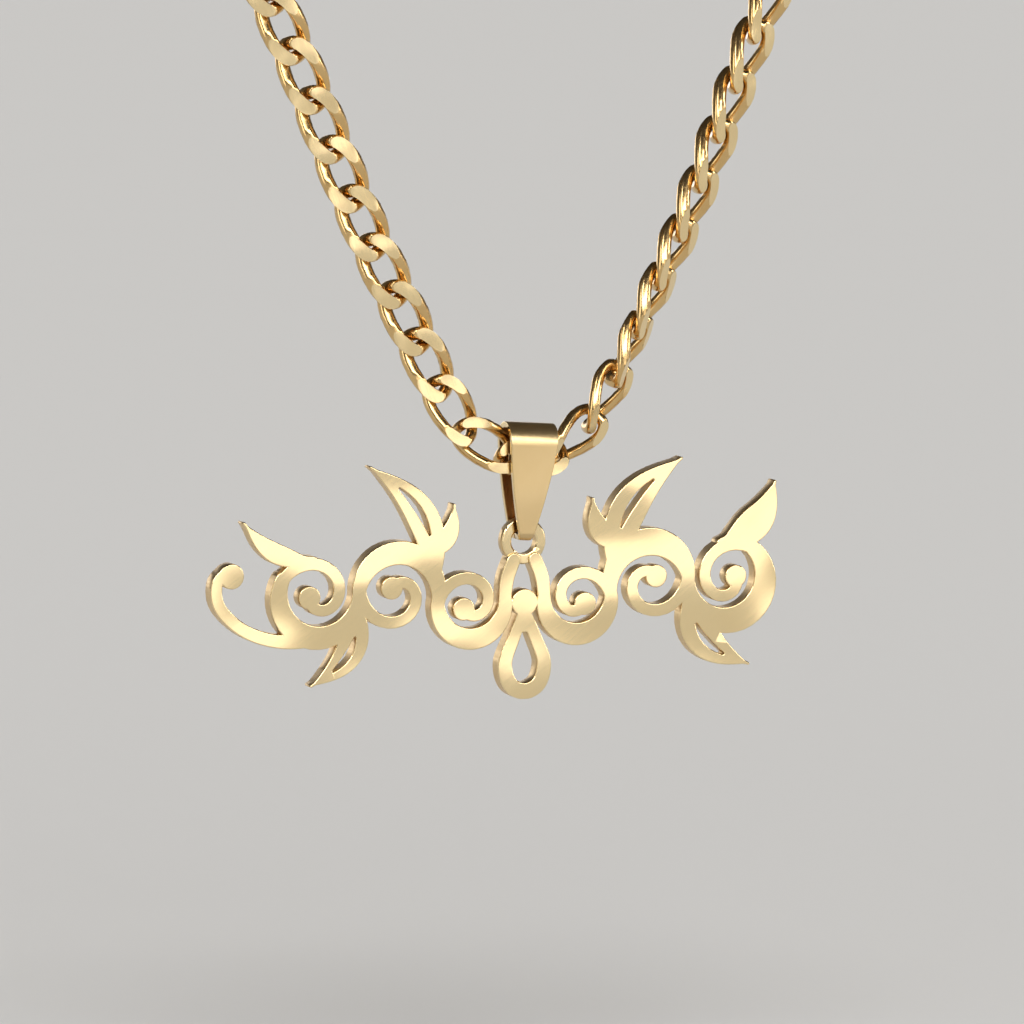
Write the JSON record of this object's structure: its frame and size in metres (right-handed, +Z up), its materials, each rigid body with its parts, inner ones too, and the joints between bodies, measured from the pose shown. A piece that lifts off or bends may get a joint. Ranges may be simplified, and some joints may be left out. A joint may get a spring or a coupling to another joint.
{
  "type": "nameplate necklace",
  "caption": "Curb-chain necklace as worn: an openwork scroll plate on a soldered ring swings from a folded strip bail on a closed chain loop.",
  "frame": {"origin": "middle of the nape, where the clasp lies at the back of the neck", "axes": "+Z up as worn, the plate faces -Y, +X to the right seen from the front"},
  "size_m": [0.1198, 0.0914, 0.137],
  "materials": {
    "plate_gold": "polished",
    "bail_gold": "satin",
    "chain_gold": "polished"
  },
  "bodies": {
    "chain": {"chain_left": "chain_gold", "chain_right": "chain_gold", "clasp": "chain_gold"},
    "bail": {"bail": "bail_gold"},
    "nameplate": {"nameplate": "plate_gold"}
  },
  "joints": [
    {"name": "bail_swing", "type": "hinge", "parent": "chain", "child": "bail", "pos_m": [0, -0.088, -0.114], "axis": [1, 0, 0], "range_deg": [-10, 10]},
    {"name": "nameplate_swing", "type": "hinge", "parent": "bail", "child": "nameplate", "pos_m": [-0.00044, -0.088, -0.11956], "axis": [1, 0, 0], "range_deg": [-65, 65]}
  ]
}
